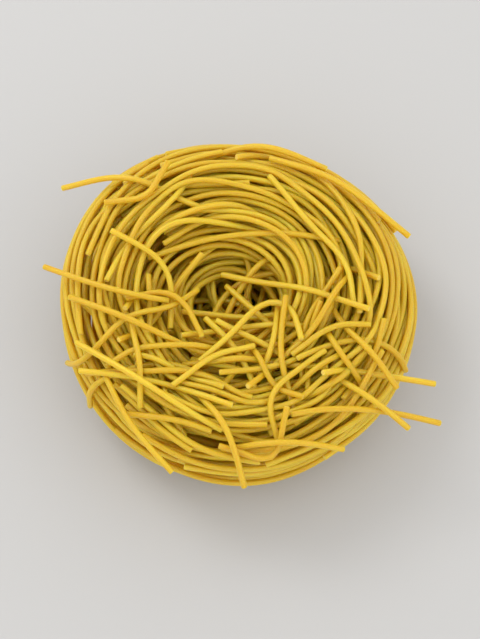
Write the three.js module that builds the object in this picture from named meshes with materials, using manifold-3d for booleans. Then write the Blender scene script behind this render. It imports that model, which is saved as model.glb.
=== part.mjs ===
// A dry pasta nest: one portion of thin round noodles, wound into a low ring while soft and then dried.
// The nest is one solid: a plain core inside, and the noodles that show fused on at their true thickness.
// Millimetres, +Z up. The origin is the middle of the flat foot on the underside.
import * as THREE from "three";
import { mergeVertices } from "three/addons/utils/BufferGeometryUtils.js";
import Module from "manifold-3d";

// Driving dimensions of the nest
const NEST_ACROSS = 84; // over the wound ring, without the stray ends
const NEST_HEIGHT = 36;
const HOLLOW_ACROSS = 15; // inside the ring, where the strays cross
const HOLLOW_DEPTH = 17; // from the rim to the bottom of the hollow
const SQUARENESS = 0.8; // 1 gives the ring an elliptical section, and less a fuller one
const OVAL = 0.026; // how far the ring swells on two sides, as a share of its radius
const LOBES = 0.018; // and on three sides
const RIM_TILT = 0.045; // how far the rim rises on one side, as a share of half the height
const RIM_WAVES = 0.03; // and on three sides
const FOOT_RADIUS = 7; // the flat foot in the middle of the underside
const CORE_FROM = -104; // the stretch of the ring's section that the core follows, in degrees
const CORE_TO = 172;
const CORE_RINGS = 10; // facets along that stretch
const CORE_SEGMENTS = 30; // facets about the axis

// Driving dimensions of the noodles
const NOODLE_THICK = 1.4;
const NOODLE_SIDES = 5;
const LAYER_RISE = 1.5; // from one layer of noodles to the next
const CORE_GAP = 0.25; // between the lower layer and the core
const LONGEST_STEP = 10; // one straight facet of a noodle, and less where the bend is tight
const STEP_TURN = 0.45; // radians about the axis that one facet may take
const STRAY_STEP = 8; // one straight facet of a stray
const DIVE_LENGTH = 14; // the stretch at a noodle's start that sinks into the core
const STRAY_DIVE = 7; // the same stretch of a stray
const DIVE_DEPTH = 2.2; // how far that start goes into the core
const FREE_LENGTH = 20; // the stretch at a noodle's end that springs away from the ring
const FREE_FACING = 50; // the side of the section that springs most, in degrees
const HOLLOW_SAG = 3; // how far a stray hangs down over the hollow
const WALL_FALL = 9; // how fast a stray bends down past the rim
const HOLLOW_DIVE = 3; // how much deeper a stray dives where it starts over the hollow
const SHORTEST_SHARE = 0.75; // the shortest wound noodle, as a share of its layer's length
const LONGEST_SHARE = 1.15;
const SHORTEST_BREAK = 0.1; // radians about the axis between the end of one noodle and the start of the next
const LONGEST_BREAK = 0.5;
const SWAY_SLANT = 0.7; // how much the sway shifts from one turn of a spiral to the next
const SEED = 20;

// The two layers of wound noodles. Each is one spiral over the ring's skin, cut into
// noodles of uneven length.
// from and to are degrees about the ring's section: 0 at the outer wall, 90 on the rim, 180 in the hollow.
// pitch is the distance between neighbours. sway is how far the spiral wanders, in radians of the section.
const LAYERS = [
  { level: 1, from: -126, to: 156, pitch: 3.5, length: 320, sway: 0.14, swayTurns: 2, phase: 0.4, lift: 0 },
  { level: 0, from: 112, to: -62, pitch: 8, length: 230, sway: 0.4, swayTurns: 1, phase: 2.2, lift: 6 },
];

// The strays left the winding. from and to are seen from above, with the height over the rim last.
// bow is how far the middle is pushed to the left of the straight line between them.
const STRAYS = [
  { from: [-2, 3, -6], to: [39, -31, 2], bow: -2 },
  { from: [-3, 5, -5], to: [31, -6, 0], bow: 1 },
  { from: [-12, -3, -6], to: [14, -4, -5], bow: -1 },
  { from: [-15, -3, -1], to: [-44, 6, 3], bow: 2 },
  { from: [-16, -9, -1], to: [-29, 12, 1], bow: -7 },
  { from: [0, -18, -2], to: [-38, -2, 2], bow: 1 },
  { from: [-2, -32, -1], to: [-36, -13, 2], bow: 1 },
  { from: [20, 2, -3], to: [37, -23, 1], bow: -2 },
  { from: [-9, -24, -1], to: [2, -46, 2], bow: 2 },
  { from: [12, -29, -1], to: [46, -29, 2], bow: 1 },
  { from: [8, 33, -1], to: [40, 13, 2], bow: 2 },
  { from: [-20, 8, -3], to: [24, 12, -2], bow: 4 },
  { from: [-8, 20, -2], to: [-41, 27, 2], bow: -3 },
];

// Sizes worked out from the dimensions above
const OUTER_RADIUS = NEST_ACROSS / 2;
const HOLLOW_RADIUS = HOLLOW_ACROSS / 2;
const RING_RADIUS = (OUTER_RADIUS + HOLLOW_RADIUS) / 2;
const RING_HALF_WIDTH = (OUTER_RADIUS - HOLLOW_RADIUS) / 2;
const RING_HALF_HEIGHT = NEST_HEIGHT / 2;
const SECTION_RADIUS = (RING_HALF_WIDTH + RING_HALF_HEIGHT) / 2;
const NOODLE_RADIUS = NOODLE_THICK / 2;
const CORE_INSET = NOODLE_THICK + LAYER_RISE + CORE_GAP;
const radians = THREE.MathUtils.degToRad;

// A small seeded generator, so that every build draws the same noodles
let drawn = SEED;
function draw(low, high) {
  drawn = (Math.imul(drawn, 1664525) + 1013904223) >>> 0;
  return low + ((high - low) * drawn) / 2 ** 32;
}

// The ring isn't round: its outline swells and narrows with the angle about the axis
function outline(turn) {
  return 1 + OVAL * Math.cos(2 * turn + 0.6) + LOBES * Math.cos(3 * turn - 1.1);
}

// The rim rises and falls too, while the underside stays flat
function rimHeight(turn) {
  return 1 + RIM_TILT * Math.cos(turn - 1.9) + RIM_WAVES * Math.cos(3 * turn + 0.4);
}

// A sine or cosine pushed towards a square wave, for the ring's full section
function full(value) {
  return Math.sign(value) * Math.abs(value) ** SQUARENESS;
}

// A point under the ring's skin, from the angle about the axis, the angle about the section and the depth
function skinPoint(turn, around, depth) {
  const across = full(Math.cos(around));
  const up = full(Math.sin(around));
  const radius = (RING_RADIUS + (RING_HALF_WIDTH - depth) * across) * outline(turn);
  const rise = up > 0 ? rimHeight(turn) : 1;
  const height = RING_HALF_HEIGHT * (1 + up * rise) - depth * up;
  return new THREE.Vector3(radius * Math.cos(turn), radius * Math.sin(turn), height);
}

// A closed geometry as a solid that can be joined and cut
const wasm = await Module();
wasm.setup();
function solid(geometry) {
  const bare = geometry.clone();
  bare.deleteAttribute("normal");
  bare.deleteAttribute("uv");
  const merged = mergeVertices(bare, 1e-4);
  return new wasm.Manifold(
    new wasm.Mesh({
      numProp: 3,
      vertProperties: merged.attributes.position.array,
      triVerts: new Uint32Array(merged.index.array),
    }),
  );
}

// A noodle of few sides along a list of points
const section = new THREE.Shape(
  Array.from({ length: NOODLE_SIDES }, (_, k) => {
    const angle = (2 * Math.PI * k) / NOODLE_SIDES;
    return new THREE.Vector2(NOODLE_RADIUS * Math.cos(angle), NOODLE_RADIUS * Math.sin(angle));
  }),
);
function noodle(points, step) {
  const path = new THREE.CatmullRomCurve3(points, false, "centripetal");
  const steps = Math.max(3, Math.round(path.getLength() / step));
  return solid(new THREE.ExtrudeGeometry(section, { steps, bevelEnabled: false, extrudePath: path }));
}

// The core fills the ring and closes the hole in its middle, apart from the hollow on top
function core() {
  const profile = [new THREE.Vector2(0, 0), new THREE.Vector2(FOOT_RADIUS, 0)];
  for (let k = 0; k <= CORE_RINGS; k += 1) {
    const around = radians(CORE_FROM + ((CORE_TO - CORE_FROM) * k) / CORE_RINGS);
    const radius = RING_RADIUS + (RING_HALF_WIDTH - CORE_INSET) * full(Math.cos(around));
    const height = RING_HALF_HEIGHT + (RING_HALF_HEIGHT - CORE_INSET) * full(Math.sin(around));
    profile.push(new THREE.Vector2(radius, height));
  }
  profile.push(new THREE.Vector2(0, NEST_HEIGHT - HOLLOW_DEPTH - CORE_INSET));
  const turned = new THREE.LatheGeometry(profile, CORE_SEGMENTS);
  turned.rotateX(Math.PI / 2);
  const place = turned.attributes.position;
  for (let k = 0; k < place.count; k += 1) {
    const turn = Math.atan2(place.getY(k), place.getX(k));
    const up = Math.max(0, place.getZ(k) / RING_HALF_HEIGHT - 1);
    const rise = 1 + (rimHeight(turn) - 1) * up;
    place.setXYZ(k, place.getX(k) * outline(turn), place.getY(k) * outline(turn), place.getZ(k) * rise);
  }
  return solid(turned);
}

// One layer of wound noodles
function woundLayer({ level, from, to, pitch, length, sway, swayTurns, phase, lift }) {
  const depth = NOODLE_RADIUS + level * LAYER_RISE;
  const sense = Math.sign(to - from);
  const noodles = [];
  let turn = draw(0, 2 * Math.PI);
  let wound = radians(from);
  while (sense * (radians(to) - wound) > 0) {
    const whole = length * draw(SHORTEST_SHARE, LONGEST_SHARE);
    const points = [];
    let gone = 0;
    let step = 0;
    while (gone <= whole) {
      const around = wound + sway * Math.sin(swayTurns * turn + SWAY_SLANT * wound + phase);
      const dive = Math.max(0, 1 - gone / DIVE_LENGTH);
      const free = Math.max(0, (gone - whole + FREE_LENGTH) / FREE_LENGTH);
      const outward = Math.max(0, Math.cos(around - radians(FREE_FACING)));
      const sunk = depth + (CORE_INSET + DIVE_DEPTH - depth) * dive - lift * outward * free ** 2;
      const point = skinPoint(turn, around, sunk);
      const radius = Math.hypot(point.x, point.y);
      points.push(point);
      step = Math.min(LONGEST_STEP, STEP_TURN * radius);
      gone += step;
      turn -= step / radius;
      wound += (sense * pitch * step) / (2 * Math.PI * radius * SECTION_RADIUS);
    }
    noodles.push(noodle(points, step));
    turn -= draw(SHORTEST_BREAK, LONGEST_BREAK);
  }
  return noodles;
}

// A stray starts inside the core and runs on over the rim and the hollow
function stray({ from, to, bow }) {
  const start = new THREE.Vector3(...from);
  const along = new THREE.Vector3(...to).sub(start);
  const length = Math.hypot(along.x, along.y);
  const left = new THREE.Vector3(-along.y, along.x, 0).divideScalar(length);
  const count = Math.max(4, Math.round(length / STRAY_STEP));
  const points = [];
  for (let k = 0; k <= count; k += 1) {
    const share = k / count;
    const aside = bow * Math.sin(Math.PI * share);
    const diving = Math.max(0, 1 - (share * length) / STRAY_DIVE);
    const point = start.clone().addScaledVector(along, share).addScaledVector(left, aside);
    const far = Math.hypot(point.x, point.y) / RING_RADIUS;
    const inside = Math.max(0, 1 - far);
    const outside = Math.max(0, far - 1);
    point.z += RING_HALF_HEIGHT * (1 + rimHeight(Math.atan2(point.y, point.x))) - NOODLE_RADIUS;
    point.z -= HOLLOW_SAG * inside + WALL_FALL * outside ** 2;
    point.z -= (CORE_INSET + DIVE_DEPTH) * (1 + HOLLOW_DIVE * inside) * diving;
    points.push(point);
  }
  return noodle(points, STRAY_STEP);
}

// All of them as one solid. The largest body is kept, which drops any scrap that touches nothing.
const joined = wasm.Manifold.union([core(), ...LAYERS.flatMap(woundLayer), ...STRAYS.map(stray)]);
const room = 2 * NEST_ACROSS;
const aboveGround = solid(new THREE.BoxGeometry(room, room, room).translate(0, 0, room / 2));
const bodies = wasm.Manifold.intersection(joined, aboveGround).decompose();
const largest = bodies.reduce((kept, body) => (body.volume() > kept.volume() ? body : kept));
const { vertProperties, triVerts } = largest.getMesh();
const geometry = new THREE.BufferGeometry();
geometry.setAttribute("position", new THREE.BufferAttribute(vertProperties, 3));
geometry.setIndex(new THREE.BufferAttribute(triVerts, 1));
geometry.computeVertexNormals();

const durum = new THREE.MeshStandardMaterial({ color: 0xe3b64e, roughness: 0.6, metalness: 0 });
const nest = new THREE.Mesh(geometry, durum);
nest.name = "pasta_nest";

const dryPastaNest = new THREE.Group();
dryPastaNest.name = "dry_pasta_nest";
dryPastaNest.add(nest);
export default dryPastaNest;
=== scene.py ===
# %% [markdown]
# # A dry pasta nest
# A nest is one portion of thin noodles. They leave the press as long soft strands, a measured
# length is cut, and the hank of strands is dropped and wound into a low ring before it dries hard.
# Nothing but the winding holds it together. The nest is built the same way here: the noodles are
# laid out as a wound hank, and then they are pushed apart until each one only touches its
# neighbours, as real noodles do while they are still soft.

import bpy
import numpy as np
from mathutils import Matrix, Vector


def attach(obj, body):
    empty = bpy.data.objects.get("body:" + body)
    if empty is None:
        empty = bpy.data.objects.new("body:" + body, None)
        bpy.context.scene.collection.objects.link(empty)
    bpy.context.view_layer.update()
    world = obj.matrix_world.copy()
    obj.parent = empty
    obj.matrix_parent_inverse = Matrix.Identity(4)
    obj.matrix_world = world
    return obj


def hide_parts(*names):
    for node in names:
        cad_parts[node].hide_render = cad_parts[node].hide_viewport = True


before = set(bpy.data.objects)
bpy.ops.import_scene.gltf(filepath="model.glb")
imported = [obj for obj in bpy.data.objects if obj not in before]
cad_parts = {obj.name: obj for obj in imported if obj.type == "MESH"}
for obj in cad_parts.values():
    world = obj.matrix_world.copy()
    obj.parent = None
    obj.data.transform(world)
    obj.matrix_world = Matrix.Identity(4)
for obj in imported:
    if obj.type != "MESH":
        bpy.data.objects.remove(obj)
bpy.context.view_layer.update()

# %% [markdown]
# ## The ring's measures
# The noodles have to fill the same body as the CAD solid, so the ring's formulas are the same ones.
# They give a point under the nest's skin from two angles: one about the nest's axis, and one about
# the ring's own section. The outline swells and narrows a little and the rim rises and falls, since
# a nest formed by hand or by a jet of air is never round.

# %% Measures of the ring
MM = 0.001
NOODLE_RADIUS = 0.7 * MM
OUTER_RADIUS = 42 * MM
HOLLOW_RADIUS = 7.5 * MM
RING_RADIUS = (OUTER_RADIUS + HOLLOW_RADIUS) / 2
RING_HALF_WIDTH = (OUTER_RADIUS - HOLLOW_RADIUS) / 2
RING_HALF_HEIGHT = 18 * MM
SQUARENESS = 0.8  # 1 gives the ring an elliptical section, and less makes it fuller at the corners
LINK = 3 * MM  # the length of one straight link while a noodle is being laid out


def outline(turn):
    return 1 + 0.026 * np.cos(2 * turn + 0.6) + 0.018 * np.cos(3 * turn - 1.1)


def rim_height(turn):
    return 1 + 0.045 * np.cos(turn - 1.9) + 0.03 * np.cos(3 * turn + 0.4)


def wander(share, size, waves, dice):
    """A smooth random path along a noodle, made of a few cosine waves."""
    path = np.zeros_like(share)
    for wave in range(1, waves + 1):
        path += dice.normal(0, wave**-0.7) * np.cos(np.pi * wave * share + dice.uniform(0, 2 * np.pi))
    return size * path


# %% [markdown]
# ## The wound hank
# The hank is ninety noodles that start at one place on the outer wall and run clockwise for about
# one and three quarter turns, ending in the hollow. Curves drawn by hand would take days, and
# particle hair is lost on export. So each noodle is worked out as a list of points: its place in
# the ring's section drifts slowly on the way round, most of the drift is shared by the bundle it
# lies in, and a little is its own. That gives the combed look of neighbours that run side by side
# and the crossings where two bundles meet. The lower half of the ring is messier than the upper
# half, which kept the order of the fall.

# %% The wound hank
dice = np.random.default_rng(5)
NOODLES = 90
BUNDLES = 9
START_TURN = np.radians(143)
WOUND_TURN = np.radians(633)
LONGEST_EXTRA = 0.25  # radians that the longest noodles are wound further
LENGTH_SPREAD = 0.9  # radians by which the others fall short
START_SPREAD = 0.14  # radians between the places where the bundles start
BUNDLE_WANDER = 0.11  # the drift of a bundle, in half widths of the ring
NOODLE_SCATTER = 0.24  # how far a noodle lies from the middle of its bundle
NOODLE_WANDER = 0.045
UPPER_MESS, LOWER_MESS = 1.1, 2.6
SKIN_SQUEEZE = 1.25  # moves the inner noodles out by this factor and squeezes the outer ones in
CORNER_FILL = 0.85  # an exponent: below 1 it moves noodles into the corners of the section
share = np.linspace(0, 1, 111)  # how much of a noodle's way is gone
hank_across = np.interp(share, [0, 0.5, 1], [0.14, 0.08, -0.14])
hank_up = np.interp(share, [0, 0.5, 1], [-0.10, 0.0, 0.14])


def lay_noodle(across, up, start, sweep):
    """The points of one noodle from its place in the ring's section along the way."""
    points = []
    turn = start
    while turn > start - sweep:
        gone = (start - turn) / sweep
        here_across = np.interp(gone, share, across)
        here_up = np.interp(gone, share, up)
        radius = (RING_RADIUS + (RING_HALF_WIDTH - NOODLE_RADIUS) * here_across) * outline(turn)
        rise = rim_height(turn) if here_up > 0 else 1
        height = RING_HALF_HEIGHT * (1 + here_up * rise) - NOODLE_RADIUS * here_up
        points.append((radius * np.cos(turn), radius * np.sin(turn), height))
        turn -= LINK / radius
    return np.array(points)


noodles = []
for bundle in range(BUNDLES):
    bundle_start = START_TURN + dice.uniform(-START_SPREAD, START_SPREAD)
    # One bundle runs in the middle of the section, and the others lie round it at two distances.
    reach = 0.0 if bundle == 0 else 0.62 + 0.22 * (bundle % 2)
    spin = 2 * np.pi * bundle / (BUNDLES - 1) + dice.uniform(0.6, 1.2) * share
    spin = spin + wander(share, 0.2, 3, dice)
    bundle_across = reach * np.cos(spin) + wander(share, BUNDLE_WANDER, 5, dice)
    bundle_up = reach * np.sin(spin) + wander(share, BUNDLE_WANDER, 5, dice)
    for _ in range(NOODLES // BUNDLES):
        messy = UPPER_MESS + LOWER_MESS * np.clip(-np.sin(START_TURN - WOUND_TURN * share), 0, 1)
        across = hank_across + bundle_across + dice.normal(0, NOODLE_SCATTER)
        across = across + messy * wander(share, NOODLE_WANDER, 7, dice)
        up = hank_up + bundle_up + dice.normal(0, NOODLE_SCATTER)
        up = up + messy * wander(share, NOODLE_WANDER, 7, dice)
        far = np.hypot(across, up)
        inside = np.tanh(SKIN_SQUEEZE * far) / far
        across = np.sign(across) * np.abs(across * inside) ** CORNER_FILL
        up = np.sign(up) * np.abs(up * inside) ** CORNER_FILL
        sweep = WOUND_TURN + LONGEST_EXTRA - abs(dice.normal(0, LENGTH_SPREAD))
        noodles.append(lay_noodle(across, up, bundle_start + dice.uniform(-0.06, 0.06), sweep))
hank_count = len(noodles)
metres = sum(len(noodle) for noodle in noodles) * LINK
print("wound noodles:", hank_count, "total metres:", round(metres, 1))

# %% [markdown]
# ## Loops that fell across the hollow
# A few noodles don't follow the ring. They were dropped as rounder, smaller loops beside the axis,
# so they cross the hollow and close it from below. Each one is part of an off-centre circle, and
# its height sinks towards the middle.

# %% Loops across the hollow
LOOPS = 17
LOOP_RISE = 6 * MM  # how much higher than its middle a loop that lies on top is at the ring
TOP_LEVEL = 25 * MM


def lay_loop(level, size, aside, dice):
    """The points of one round loop whose middle lies aside from the axis, at about one height."""
    toward = np.radians(dice.uniform(0, 360))
    sweep = dice.uniform(1.2, 2.0) * np.pi
    start = toward + np.pi + 0.5 * sweep + dice.uniform(-0.6, 0.6)
    angle = start - np.arange(0, sweep, LINK / size)
    x = aside * np.cos(toward) + size * np.cos(angle)
    y = aside * np.sin(toward) + size * np.sin(angle) * dice.uniform(0.85, 1.0)
    z = level + LOOP_RISE * (np.hypot(x, y) / RING_RADIUS) ** 2 * level / TOP_LEVEL
    return np.stack([x, y, z + wander(np.linspace(0, 1, len(x)), 1 * MM, 4, dice)], 1)


for level in np.linspace(2, 26, LOOPS):  # millimetres over the table
    size = dice.uniform(13, 21) * MM
    noodles.append(lay_loop(level * MM, size, size * dice.uniform(0.72, 1.05), dice))

# %% [markdown]
# ## The floor of the hollow
# The table would still show through the floor of the hollow. In a real nest short ends lie there in
# a tangle, so more and smaller loops go low down. They have their own dice, so their number can
# change and all other noodles are still laid out alike.

# %% The floor of the hollow
LOW_LOOPS = 22
low_dice = np.random.default_rng(9)
for level in np.linspace(1.5, 13, LOW_LOOPS):
    size = low_dice.uniform(7, 14) * MM
    noodles.append(lay_loop(level * MM, size, size * low_dice.uniform(0.3, 0.9), low_dice))
loop_count = LOOPS + LOW_LOOPS
print("loops:", loop_count)

# %% [markdown]
# ## Strays
# Noodles that left the winding give the nest its untidy look. The large ones are listed one by one in
# a short table, because they are what the eye remembers. Seen from above, in millimetres: where a
# stray starts and how high it is there over the rim, where it ends and how high, and how far its
# middle bows to the left of the straight line.

# %% Strays over the top
SAG = 3  # millimetres that a stray hangs down over the middle of the hollow
DROOP = 9  # how much it hangs down outside the rim
STRAYS = [
    ((-2, 3, -6), (39, -31, 2), -2),
    ((-3, 5, -5), (31, -6, 0), 1),
    ((-12, -3, -6), (14, -4, -5), -1),
    ((-15, -3, -1), (-44, 6, 3), 2),
    ((-16, -9, -1), (-29, 12, 1), -7),
    ((0, -18, -2), (-38, -2, 2), 1),
    ((-2, -32, -1), (-36, -13, 2), 1),
    ((-1, -29, -1), (-35, -20, 1), -2),
    ((-5, -27, -1), (14, -2, -6), 1),
    ((2, -25, -1), (27, 5, -1), -2),
    ((20, 2, -3), (37, -23, 1), -2),
    ((-28, -20, -1), (-14, -42, 1), -2),
    ((-9, -24, -1), (2, -46, 2), 2),
    ((-4, -38, -1), (25, -37, 1), 2),
    ((10, -27, -1), (-4, -36, 1), 8),
    ((12, -29, -1), (46, -29, 2), 1),
    ((18, -20, -1), (45, -21, 1), 1),
    ((-17, 30, -1), (-30, 23, 1), 6),
    ((-10, 35, -2), (21, 29, 1), 3),
    ((8, 33, -1), (40, 13, 2), 2),
    ((-20, 8, -3), (24, 12, -2), 4),
    ((-8, 20, -2), (-41, 27, 2), -3),
]


def lay_stray(start, end, bow):
    """The points of one stray, which lies over the rim and sags over the hollow."""
    start, end = MM * np.array(start), MM * np.array(end)
    along = end - start
    length = np.hypot(along[0], along[1])
    left = np.array([-along[1], along[0], 0]) / length
    part = np.linspace(0, 1, int(length / LINK) + 2)[:, None]
    line = start + along * part + left * bow * MM * np.sin(np.pi * part)
    far = np.hypot(line[:, 0], line[:, 1]) / RING_RADIUS
    turn = np.arctan2(line[:, 1], line[:, 0])
    line[:, 2] += RING_HALF_HEIGHT * (1 + rim_height(turn)) - NOODLE_RADIUS
    line[:, 2] -= MM * (SAG * np.clip(1 - far, 0, 1) + DROOP * np.clip(far - 1, 0, None) ** 2)
    return line


for row in STRAYS:
    noodles.append(lay_stray(*row))
stray_count = len(STRAYS)
print("strays:", stray_count)

# %% [markdown]
# ## Broken lengths
# The lower half of the nest looks like hay: short lengths lie over each other in all directions.
# The upper half is combed, and only a few longer lengths cross it at a shallow angle. Nobody
# remembers one of these, so they aren't in the table. Each gets a middle over the ring, a heading
# that is roughly along the ring, a length and a bow, all drawn from the same dice.

# %% Broken lengths
HAY = 34
COMBED = 12
HAY_SPREAD = 0.7  # radians by which a heading differs from that of the ring
COMBED_SPREAD = 0.22


def lay_broken(turn, radius, heading_spread, length, height, bow):
    """The points of one broken length, from where its middle is and how it lies to the ring."""
    middle = radius * np.array([np.cos(turn), np.sin(turn)])
    heading = turn + np.pi / 2 + dice.normal(0, heading_spread)
    half = 0.5 * length * np.array([np.cos(heading), np.sin(heading)])
    start, end = middle - half, middle + half
    return lay_stray((*start, height), (*end, height + dice.uniform(-1, 1)), bow)


for _ in range(HAY):
    turn, radius = np.radians(dice.uniform(188, 352)), dice.uniform(14, 35)
    length, height, bow = dice.uniform(18, 44), dice.uniform(-2.5, 0.5), dice.normal(0, 2.5)
    noodles.append(lay_broken(turn, radius, HAY_SPREAD, length, height, bow))
for _ in range(COMBED):
    turn, radius = np.radians(dice.uniform(10, 170)), dice.uniform(20, 34)
    length = dice.uniform(32, 58)
    bow = -(length**2) / (10 * radius) + dice.normal(0, 1.5)  # bends with the ring
    noodles.append(lay_broken(turn, radius, COMBED_SPREAD, length, dice.uniform(-2.0, 0.0), bow))
print("broken lengths:", HAY + COMBED)

# %% [markdown]
# ## Settling the noodles
# As laid out, the noodles run through each other. Blender's own rigid bodies and cloth can't hold
# two hundred stiff threads this thin. The usual answer in games and films is position based
# dynamics, and it is short: every noodle is a chain of links, and each round moves the points a
# little so that links keep their length, neighbours keep a noodle's thickness apart, bends stay
# smooth and all of it stays inside the nest. A few hundred rounds leave a settled nest.

# %% The chains
# Give is how readily a point moves. The strays from the table stay about where they were put.
BROKEN_GIVE, STRAY_GIVE, WOUND_GIVE = 0.6, 0.12, 1.0
BROKEN_STIFFNESS, STRAY_STIFFNESS, WOUND_STIFFNESS = 0.09, 0.15, 0.04
SPRINGY_SHARE = 0.45  # the share of noodles whose last end springs out of the winding
SPRINGY_LINKS = 7
points = np.concatenate(noodles)
owner = np.repeat(np.arange(len(noodles)), [len(noodle) for noodle in noodles])
is_stray = owner >= hank_count + loop_count
is_broken = owner >= hank_count + loop_count + stray_count
give = np.where(is_broken, BROKEN_GIVE, np.where(is_stray, STRAY_GIVE, WOUND_GIVE))
link_start = np.flatnonzero(owner[1:] == owner[:-1])
rest = np.linalg.norm(points[link_start + 1] - points[link_start], axis=1)
rest = np.where(is_stray[link_start], rest, LINK)
even_links = np.flatnonzero(link_start % 2 == 0)
odd_links = np.flatnonzero(link_start % 2 == 1)
bends = np.flatnonzero(owner[4:] == owner[:-4]) + 2
stiffness = np.where(is_stray, STRAY_STIFFNESS, WOUND_STIFFNESS)
stiffness = np.where(is_broken, BROKEN_STIFFNESS, stiffness)[bends]
last_tips = np.flatnonzero(np.append(owner[1:] != owner[:-1], True))
first_tips = np.append(0, last_tips[:-1] + 1)
to_end = last_tips[owner] - np.arange(len(points))
springy = dice.uniform(0, 1, len(noodles))[owner] < SPRINGY_SHARE
# 1 at the very end of a springy noodle, and 0 from some links before it.
free = np.where(springy, np.clip(1 - to_end / SPRINGY_LINKS, 0, 1), 0) ** 2
print("points:", len(points), "links:", len(link_start))

# %% [markdown]
# There are millions of pairs of links and only a few thousand that touch. So space is cut into
# cells, and each link is compared with those in its own cell and in half of the cells around it,
# which covers every pair once.

# %% Neighbours
THICKNESS = 2 * NOODLE_RADIUS
CELL_STEPS = [(0, 0, 0), (0, 0, 1)]
CELL_STEPS += [(0, 1, z) for z in (-1, 0, 1)]
CELL_STEPS += [(1, y, z) for y in (-1, 0, 1) for z in (-1, 0, 1)]


def find_neighbours(reach):
    """Pairs of links whose middles are closer than reach, found through a grid of cells."""
    middle = (points[link_start] + points[link_start + 1]) / 2
    cell = np.floor((middle - middle.min(0)) / reach).astype(np.int64) + 1
    width = cell.max(0) + 2
    key = (cell[:, 0] * width[1] + cell[:, 1]) * width[2] + cell[:, 2]
    order = np.argsort(key, kind="stable")
    key = key[order]
    place = np.arange(len(key))
    firsts, seconds = [], []
    for step in CELL_STEPS:
        shift = (step[0] * width[1] + step[1]) * width[2] + step[2]
        low = place + 1 if shift == 0 else np.searchsorted(key, key + shift, "left")
        high = np.searchsorted(key, key + shift, "right")
        count = np.maximum(high - low, 0)
        firsts.append(order[np.repeat(place, count)])
        shift_back = np.repeat(np.cumsum(count) - count - low, count)
        seconds.append(order[np.arange(count.sum()) - shift_back])
    a, b = np.concatenate(firsts), np.concatenate(seconds)
    near = ((middle[a] - middle[b]) ** 2).sum(1) < reach**2
    a, b = link_start[a[near]], link_start[b[near]]
    # Links that follow each other in one noodle touch where they join, so they are left out.
    apart = (owner[a] != owner[b]) | (np.abs(a - b) > 3)
    return a[apart], b[apart]


# %% [markdown]
# Two links are pushed apart along the shortest line between them. Each of their four ends moves by
# its share, and an end that is in several contacts takes the average. A little overshoot makes the
# rounds fewer.

# %% Contacts
OVERSHOOT = 1.3
TIP_STRAIGHTENING = 0.3


def push_apart(a, b, thickness):
    """Moves links that are too close away from each other and returns by how much they were."""
    u, v, r = points[a + 1] - points[a], points[b + 1] - points[b], points[a] - points[b]
    uu, vv, uv = (u * u).sum(1), (v * v).sum(1), (u * v).sum(1)
    ur, vr = (u * r).sum(1), (v * r).sum(1)
    s = np.clip((uv * vr - vv * ur) / np.maximum(uu * vv - uv * uv, 1e-16), 0, 1)
    t = np.clip((uv * s + vr) / vv, 0, 1)
    s = np.clip((uv * t - ur) / uu, 0, 1)
    gap = r + u * s[:, None] - v * t[:, None]
    far = np.sqrt((gap * gap).sum(1)) + 1e-9
    hit = far < thickness
    a, b, s, t, gap, far = a[hit], b[hit], s[hit], t[hit], gap[hit], far[hit]
    ends = [(a, 1 - s, 1), (a + 1, s, 1), (b, 1 - t, -1), (b + 1, t, -1)]
    total = sum(give[end] * weight**2 for end, weight, _ in ends)
    move = np.zeros_like(points)
    touched = np.zeros(len(points))
    for end, weight, sign in ends:
        amount = sign * (thickness - far) * give[end] * weight / total / far
        for axis in range(3):
            move[:, axis] += np.bincount(end, amount * gap[:, axis], len(points))
        touched += np.bincount(end, weight > 0.05, len(points))
    points[:] += OVERSHOOT * move / np.maximum(touched, 1)[:, None]
    return thickness - far


def keep_length(links):
    """Puts every other link back to its length, so that no point is moved twice."""
    a = link_start[links]
    span = points[a + 1] - points[a]
    size = np.sqrt((span * span).sum(1))
    pull = ((size - rest[links]) / size / (give[a] + give[a + 1]))[:, None] * span
    points[a] += pull * give[a][:, None]
    points[a + 1] -= pull * give[a + 1][:, None]


def smooth_bends():
    """Evens out the bends of each noodle, because dough is stiff."""
    kink = points[bends - 2] - 4 * points[bends - 1] + 6 * points[bends]
    kink = kink - 4 * points[bends + 1] + points[bends + 2]
    points[bends] -= (stiffness * give[bends])[:, None] * kink
    for tip, inwards in ((first_tips, 1), (last_tips, -1)):
        straight = 2 * points[tip + inwards] - points[tip + 2 * inwards]
        points[tip] += TIP_STRAIGHTENING * (straight - points[tip]) * give[tip][:, None]


# %% [markdown]
# The skin is the ring's outer wall, top and foot. It is soft: a point outside it is pulled half of
# the way back in each round. On the side of the hollow it only holds the height, so the loops that
# cross the hollow stay where they are. Springy ends and strays may stick out.

# %% The nest's skin
SKIN_PULL = 0.5
BROKEN_PULL = 0.3  # a broken length lies on top, so it is pulled less
HOLLOW_SIDE = 0.12  # how much lower the skin gets towards the axis, against 1 towards the outside


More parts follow.
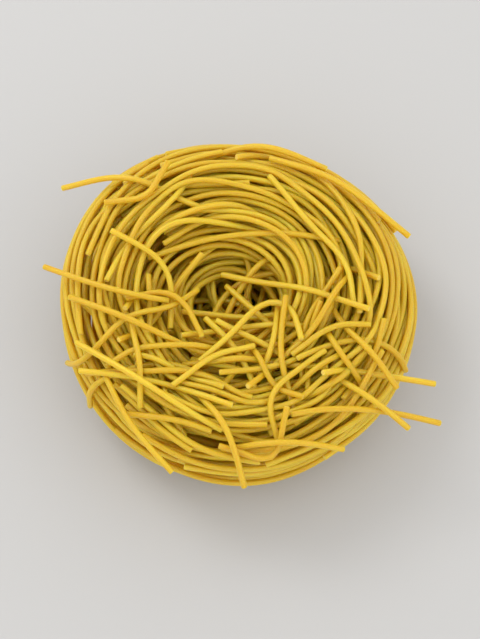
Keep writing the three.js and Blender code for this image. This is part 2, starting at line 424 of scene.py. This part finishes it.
def keep_inside():
    """Pulls the points back under the nest's skin and above the table."""
    turn = np.arctan2(points[:, 1], points[:, 0])
    radius = np.hypot(points[:, 0], points[:, 1]) + 1e-9
    rise = np.where(points[:, 2] > RING_HALF_HEIGHT, rim_height(turn), 1)
    half_height = RING_HALF_HEIGHT * rise - NOODLE_RADIUS
    half_width = RING_HALF_WIDTH - NOODLE_RADIUS
    across = (radius / outline(turn) - RING_RADIUS) / half_width
    up = (points[:, 2] - RING_HALF_HEIGHT) / half_height
    middle = across < 0
    power = 2 / SQUARENESS
    shape = np.abs(up) ** power + np.where(middle, HOLLOW_SIDE, 1) * np.abs(across) ** power
    over = np.maximum(shape ** (1 / power), 1)
    new_radius = np.where(middle, radius, (RING_RADIUS + across / over * half_width) * outline(turn))
    new_height = RING_HALF_HEIGHT + up / over * half_height
    new = np.column_stack([points[:, :2] * (new_radius / radius)[:, None], new_height])
    pull = SKIN_PULL * np.where(is_broken, BROKEN_PULL, np.where(is_stray, 0, 1 - free))
    points[:] += pull[:, None] * (new - points)
    points[:, 2] = np.maximum(points[:, 2], NOODLE_RADIUS)


# %% Settling
ROUNDS = 240
LOOSE_ROUNDS = 120  # rounds in which the noodles keep further apart, which fills the ring evenly
EXTRA_GAP = 0.7  # thicknesses of extra room at the start
SEARCH_EVERY = 8
SPARE_REACH = 0.6 * MM  # catches the pairs that come close before the next search
for settling in range(ROUNDS):
    looseness = max(0, 1 - settling / LOOSE_ROUNDS)
    thickness = THICKNESS * (1 + EXTRA_GAP * looseness)
    if settling % SEARCH_EVERY == 0:
        first, second = find_neighbours(LINK + thickness + SPARE_REACH)
    overlap = push_apart(first, second, thickness)
    keep_length(even_links)
    keep_length(odd_links)
    smooth_bends()
    keep_length(odd_links)
    keep_length(even_links)
    keep_inside()
print("deepest overlap left in mm:", round(overlap.max() / MM, 2))
print("mean overlap of noodles that touch in mm:", round(overlap.mean() / MM, 3))

# %% [markdown]
# ## From chains to round noodles
# A curve object with a bevel would draw round threads too, but the export needs meshes, and a mesh
# can hold a value for each noodle. So a ring of points is set round the chain every two millimetres
# and the rings are joined. Each end is cut square by the blade, with a slightly broken edge. The
# mesh gets a UV map that runs round and along the noodle, for streaks that follow it, and one
# random tone for each noodle, because some dry paler than others.

# %% Round noodles from chains
SIDES = 10
RING_SPACING = 2 * MM
EDGE_DEPTH = 0.1  # the broken edge of a cut end, in thicknesses
END_WIDTH = 0.86  # the width of the cut face, in thicknesses


def smooth_line(chain, spacing):
    """Points at an even spacing on a Catmull-Rom curve through a chain, and the distance along it."""
    padded = np.vstack([2 * chain[0] - chain[1], chain, 2 * chain[-1] - chain[-2]])
    t = np.linspace(0, 1, 4, endpoint=False)[None, :, None]
    a, b, c, d = (padded[k : k + len(chain) - 1, None, :] for k in range(4))
    bend, twist = 2 * a - 5 * b + 4 * c - d, 3 * b - a - 3 * c + d
    fine = 0.5 * (2 * b + (c - a) * t + bend * t**2 + twist * t**3)
    fine = np.vstack([fine.reshape(-1, 3), chain[-1:]])
    along = np.append(0, np.cumsum(np.linalg.norm(np.diff(fine, axis=0), axis=1)))
    even = np.linspace(0, along[-1], max(3, int(round(along[-1] / spacing)) + 1))
    line = np.column_stack([np.interp(even, along, fine[:, axis]) for axis in range(3)])
    return line, even


def sweep_noodle(chain, thickness):
    """Rings of points round a chain, and how far along the noodle each ring is."""
    line, along = smooth_line(chain, RING_SPACING)
    way = np.gradient(line, axis=0)
    way /= np.linalg.norm(way, axis=1)[:, None]
    sides = []
    side = np.cross(way[0], [0.3, 0.2, 1.0])
    for direction in way:
        # The side is carried along from ring to ring, so that the noodle doesn't twist.
        side = side - direction * (side @ direction)
        side = side / np.linalg.norm(side)
        sides.append(side)
    sides = np.array(sides)
    others = np.cross(way, sides)
    edge = EDGE_DEPTH * thickness
    first, last = line[:1], line[-1:]
    line = np.vstack([first, first + way[0] * edge, line[1:-1], last - way[-1] * edge, last])
    along = np.concatenate([along[:1], along[:1] + edge, along[1:-1], along[-1:] - edge, along[-1:]])
    sides = np.vstack([sides[:1], sides, sides[-1:]])
    others = np.vstack([others[:1], others, others[-1:]])
    radius = np.full(len(line), thickness / 2)
    radius[[0, -1]] *= END_WIDTH
    angle = np.linspace(0, 2 * np.pi, SIDES, endpoint=False)[None, :, None]
    rings = np.cos(angle) * sides[:, None, :] + np.sin(angle) * others[:, None, :]
    return line[:, None, :] + radius[:, None, None] * rings, along


# %% [markdown]
# Thousands of small quads are quicker to write down than to model, so each piece is one mesh from
# lists: its points, its faces, the place of each face's corners on the UV map, which faces were
# cut, and the tone of each point.

# %% One mesh for many noodles
THINNEST, THICKEST = 0.95, 1.03  # noodles differ a little in thickness
UV_LENGTH = 10 * MM  # the stretch of noodle that is one unit on the UV map


def build_piece(name, chains):
    """One mesh that holds many noodles."""
    vertices, faces, corners, ends, tones = [], [], [], [], []
    base = 0  # the number of the noodle's first point
    for chain in chains:
        rings, along = sweep_noodle(chain, THICKNESS * dice.uniform(THINNEST, THICKEST))
        ring = np.arange(len(along) - 1)[:, None]
        side = np.arange(SIDES)[None, :]
        here, there = base + ring * SIDES, base + ring * SIDES + SIDES
        beside = (side + 1) % SIDES
        quads = np.stack([here + side, here + beside, there + beside, there + side], -1)
        faces += quads.reshape(-1, 4).tolist()
        u = np.broadcast_to(side / SIDES, (len(along) - 1, SIDES))
        v = dice.uniform(0, 50) + np.broadcast_to(along[:, None], (len(along), SIDES)) / UV_LENGTH
        next_u = u + 1 / SIDES
        quad_corners = np.stack([u, v[:-1], next_u, v[:-1], next_u, v[1:], u, v[1:]], -1)
        corners.append(quad_corners.reshape(-1, 2))
        ends += [False] * (len(along) - 1) * SIDES + [True, True]
        last_ring = base + (len(along) - 1) * SIDES
        faces.append(list(range(base + SIDES - 1, base - 1, -1)))
        faces.append(list(range(last_ring, last_ring + SIDES)))
        corners.append(np.zeros((2 * SIDES, 2)))
        vertices.append(rings.reshape(-1, 3))
        tones.append(np.full(len(along) * SIDES, dice.uniform(0, 1)))
        base += len(along) * SIDES
    mesh = bpy.data.meshes.new(name)
    mesh.from_pydata(np.concatenate(vertices).tolist(), [], faces)
    uv_map = mesh.uv_layers.new(name="noodle").uv
    uv_map.foreach_set("vector", np.concatenate(corners).astype(np.float32).ravel())
    tone = mesh.attributes.new("tone", "FLOAT", "POINT").data
    tone.foreach_set("value", np.concatenate(tones).astype(np.float32))
    mesh.polygons.foreach_set("material_index", np.array(ends, dtype=np.int32))
    mesh.shade_smooth()
    mesh.set_sharp_from_angle(angle=np.radians(50))
    piece = bpy.data.objects.new(name, mesh)
    bpy.context.scene.collection.objects.link(piece)
    print(name, "noodles:", len(chains), "triangles:", sum(len(face) - 2 for face in faces))
    return piece


# %% The four pieces
chains = [points[owner == number] for number in range(len(noodles))]
half_hank = hank_count // 2
first_stray = hank_count + loop_count
first_winding = build_piece("first_winding", chains[:half_hank])
last_winding = build_piece("last_winding", chains[half_hank:hank_count])
crossing_loops = build_piece("crossing_loops", chains[hank_count:first_stray])
stray_noodles = build_piece("stray_noodles", chains[first_stray:])
nest_pieces = [first_winding, last_winding, crossing_loops, stray_noodles]

# %% [markdown]
# ## Semolina grain
# Pasta is pressed from coarse wheat meal, so its skin is full of tiny pale and brown specks and is
# faintly rough. The rough skin and the cut faces both show it, which makes it a node group: built
# once, and placed in each finish with its own values. Painted speckle in a picture would stretch
# round the noodle, while noise on Object coordinates can't.


# %% Helpers for nodes
def new_node(tree, kind, **values):
    """Adds a node and sets the sockets that are named."""
    node = tree.nodes.new(kind)
    for socket, value in values.items():
        node.inputs[socket.replace("_", " ")].default_value = value
    return node


def new_math(tree, operation):
    """Adds a Math node."""
    node = tree.nodes.new("ShaderNodeMath")
    node.operation = operation
    return node


def new_tint(tree, colour, blend="MIX"):
    """Adds a Mix node that brings a fixed colour in."""
    node = tree.nodes.new("ShaderNodeMix")
    node.data_type = "RGBA"
    node.blend_type = blend
    node.inputs["B"].default_value = colour
    return node


# %% Semolina grain
grain = bpy.data.node_groups.new("semolina_grain", "ShaderNodeTree")
for socket, kind in (("Base", "Color"), ("Specks", "Float"), ("Roughness", "Float")):
    grain.interface.new_socket(socket, in_out="INPUT", socket_type="NodeSocket" + kind)
for socket, kind in (("Color", "Color"), ("Roughness", "Float"), ("Height", "Float")):
    grain.interface.new_socket(socket, in_out="OUTPUT", socket_type="NodeSocket" + kind)
taken = grain.nodes.new("NodeGroupInput")
given = grain.nodes.new("NodeGroupOutput")
place = grain.nodes.new("ShaderNodeTexCoord")
meal = new_node(grain, "ShaderNodeTexNoise", Scale=2400, Detail=4)
bran = new_node(grain, "ShaderNodeTexVoronoi", Scale=1500)
# The random colour of a Voronoi cell is added to the distance, which makes most specks smaller.
bran_sizes = new_math(grain, "MULTIPLY_ADD")
bran_sizes.inputs[1].default_value = 0.30
bran_dots = new_node(grain, "ShaderNodeMapRange", From_Min=0.13, From_Max=0.26)
bran_dots.inputs["To Min"].default_value = 1
bran_dots.inputs["To Max"].default_value = 0
bran_share = new_math(grain, "MULTIPLY")
bran_tint = new_tint(grain, (0.36, 0.14, 0.02, 1))
pale_share = new_node(grain, "ShaderNodeMapRange", From_Min=0.58, From_Max=0.72, To_Max=0.35)
pale_tint = new_tint(grain, (0.82, 0.61, 0.14, 1))
sheen_range = new_node(grain, "ShaderNodeMapRange", From_Min=0.3, From_Max=0.7)
sheen_range.inputs["To Min"].default_value = -0.08
sheen_range.inputs["To Max"].default_value = 0.10
sheen = new_math(grain, "ADD")
grain.links.new(place.outputs["Object"], meal.inputs["Vector"])
grain.links.new(place.outputs["Object"], bran.inputs["Vector"])
grain.links.new(bran.outputs["Color"], bran_sizes.inputs[0])
grain.links.new(bran.outputs["Distance"], bran_sizes.inputs[2])
grain.links.new(bran_sizes.outputs[0], bran_dots.inputs["Value"])
grain.links.new(bran_dots.outputs["Result"], bran_share.inputs[0])
grain.links.new(taken.outputs["Specks"], bran_share.inputs[1])
grain.links.new(bran_share.outputs[0], bran_tint.inputs["Factor"])
grain.links.new(meal.outputs["Fac"], pale_share.inputs["Value"])
grain.links.new(pale_share.outputs["Result"], pale_tint.inputs["Factor"])
grain.links.new(taken.outputs["Base"], pale_tint.inputs["A"])
grain.links.new(pale_tint.outputs["Result"], bran_tint.inputs["A"])
grain.links.new(bran_tint.outputs["Result"], given.inputs["Color"])
grain.links.new(meal.outputs["Fac"], sheen_range.inputs["Value"])
grain.links.new(sheen_range.outputs["Result"], sheen.inputs[0])
grain.links.new(taken.outputs["Roughness"], sheen.inputs[1])
grain.links.new(sheen.outputs[0], given.inputs["Roughness"])
grain.links.new(meal.outputs["Fac"], given.inputs["Height"])
print("semolina grain nodes:", len(grain.nodes))

# %% [markdown]
# ## Dried durum dough
# Dry pasta is a hard, slightly translucent yellow dough. Light enters the thin noodle and comes out
# beside the spot where it went in, so the shadows between noodles glow deep gold. A plain yellow
# diffuse shader looks like plastic, so the finish uses subsurface scattering, a satin surface, pale
# and deep noodles side by side, faint streaks that the die drew along each noodle, and the grain
# from above.


# %% Dried durum dough
def start_finish(name):
    """A new material with its shader and the semolina grain already in place."""
    material = bpy.data.materials.new(name)
    material.use_nodes = True
    tree = material.node_tree
    shader = tree.nodes["Principled BSDF"]
    group = tree.nodes.new("ShaderNodeGroup")
    group.node_tree = grain
    bump = new_node(tree, "ShaderNodeBump", Distance=0.00006)
    tree.links.new(group.outputs["Color"], shader.inputs["Base Color"])
    tree.links.new(group.outputs["Roughness"], shader.inputs["Roughness"])
    tree.links.new(group.outputs["Height"], bump.inputs["Height"])
    tree.links.new(bump.outputs["Normal"], shader.inputs["Normal"])
    shader.inputs["Subsurface Radius"].default_value = (1.0, 0.6, 0.2)
    shader.inputs["Subsurface Scale"].default_value = 0.003
    return material, tree, shader, group, bump


dough, tree, shader, group, bump = start_finish("dried_durum_dough")
group.inputs["Specks"].default_value = 0.45
group.inputs["Roughness"].default_value = 0.42
bump.inputs["Strength"].default_value = 0.35
shader.inputs["Subsurface Weight"].default_value = 0.9
shader.inputs["IOR"].default_value = 1.5
shader.inputs["Specular IOR Level"].default_value = 0.4

tone = tree.nodes.new("ShaderNodeAttribute")
tone.attribute_name = "tone"
noodle_colour = tree.nodes.new("ShaderNodeValToRGB")
noodle_colour.color_ramp.elements[0].color = (0.65, 0.42, 0.014, 1)
noodle_colour.color_ramp.elements[1].color = (0.77, 0.54, 0.036, 1)
tree.links.new(tone.outputs["Fac"], noodle_colour.inputs["Fac"])

round_and_along = tree.nodes.new("ShaderNodeUVMap")
round_and_along.uv_map = "noodle"
stretched = new_node(tree, "ShaderNodeMapping", Scale=(9, 0.5, 1))
streaks = new_node(tree, "ShaderNodeTexNoise", Scale=1.6, Detail=3)
streak_share = new_node(tree, "ShaderNodeMapRange", From_Min=0.42, From_Max=0.70, To_Max=0.8)
streak_tint = new_tint(tree, (0.91, 0.80, 0.45, 1), "MULTIPLY")
tree.links.new(round_and_along.outputs["UV"], stretched.inputs["Vector"])
tree.links.new(stretched.outputs["Vector"], streaks.inputs["Vector"])
tree.links.new(streaks.outputs["Fac"], streak_share.inputs["Value"])
tree.links.new(streak_share.outputs["Result"], streak_tint.inputs["Factor"])
tree.links.new(noodle_colour.outputs["Color"], streak_tint.inputs["A"])
tree.links.new(streak_tint.outputs["Result"], group.inputs["Base"])
print("dried durum dough nodes:", len(tree.nodes))

# %% [markdown]
# ## Cut faces
# Where the blade went through, the dough is paler, dry and rough, like chalk. The finish is the
# same grain with stronger specks and no gloss. The faces were marked when the noodles were made, so
# the second material slot finds them.

# %% Cut faces
cut_face, tree, shader, group, bump = start_finish("cut_durum_dough")
group.inputs["Base"].default_value = (0.86, 0.62, 0.12, 1)
group.inputs["Specks"].default_value = 0.7
group.inputs["Roughness"].default_value = 0.75
bump.inputs["Strength"].default_value = 0.8
shader.inputs["Subsurface Weight"].default_value = 0.2
shader.inputs["Specular IOR Level"].default_value = 0.15
for piece in nest_pieces:
    piece.data.materials.append(dough)
    piece.data.materials.append(cut_face)
    print(piece.name, "cut faces:", sum(face.material_index for face in piece.data.polygons))

# %% Telling the frame about the pieces
for piece in nest_pieces:
    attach(piece, "root")
    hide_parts("pasta_nest")

# %% [markdown]
# ## Floor, light and camera
# The nest lies on a pale studio floor. One soft light from the upper left draws the round of each
# noodle, a weaker one fills the other side, and the camera looks down into the ring.

# %% Floor
bpy.ops.object.select_all(action="DESELECT")
bpy.ops.mesh.primitive_plane_add(size=30)
floor = bpy.context.object
floor.name = "studio_floor"
paper = bpy.data.materials.new("pale_paper")
paper.use_nodes = True
shader = paper.node_tree.nodes["Principled BSDF"]
shader.inputs["Base Color"].default_value = (0.56, 0.553, 0.543, 1)
shader.inputs["Roughness"].default_value = 0.8
floor.data.materials.append(paper)

# %% Lights
def add_light(name, place, size, power, target=(0, 0, 0.015)):
    """Adds a square soft light that looks at the nest."""
    bpy.ops.object.light_add(type="AREA", location=place)
    light = bpy.context.object
    light.name = name
    light.data.size = size
    light.data.energy = power
    light.rotation_euler = (Vector(target) - Vector(place)).to_track_quat("-Z", "Y").to_euler()
    print(name, "watts:", power)


add_light("key_light", (-0.35, 0.30, 0.60), 0.25, 1.15)
add_light("fill_light", (0.60, -0.30, 0.45), 0.60, 0.5)
sky = bpy.data.worlds.new("studio")
sky.use_nodes = True
background = sky.node_tree.nodes["Background"]
background.inputs["Color"].default_value = (1, 1, 1, 1)
background.inputs["Strength"].default_value = 1.04
bpy.context.scene.world = sky

# %% [markdown]
# ## Colour as a camera sees it
# Blender's AgX view pulls strong colours towards grey as they get bright, which turns golden pasta
# into beige. The photo keeps its yellow up to the lightest noodles. So the scene uses the Standard
# view, and the lights are set low enough for the floor and the noodles to stay below white.

# %% View
bpy.context.scene.view_settings.view_transform = "Standard"

# %% Camera
CAMERA_HEIGHT_ANGLE = np.radians(70)
CAMERA_DISTANCE = 0.42
look_at = Vector((0.001, -0.001, 0.016))
bpy.ops.object.camera_add()
camera = bpy.context.object
outwards = Vector((0, -np.cos(CAMERA_HEIGHT_ANGLE), np.sin(CAMERA_HEIGHT_ANGLE)))
camera.location = look_at + CAMERA_DISTANCE * outwards
camera.rotation_euler = (look_at - camera.location).to_track_quat("-Z", "Y").to_euler()
camera.data.lens = 100
camera.data.clip_start = 0.01
bpy.context.scene.camera = camera
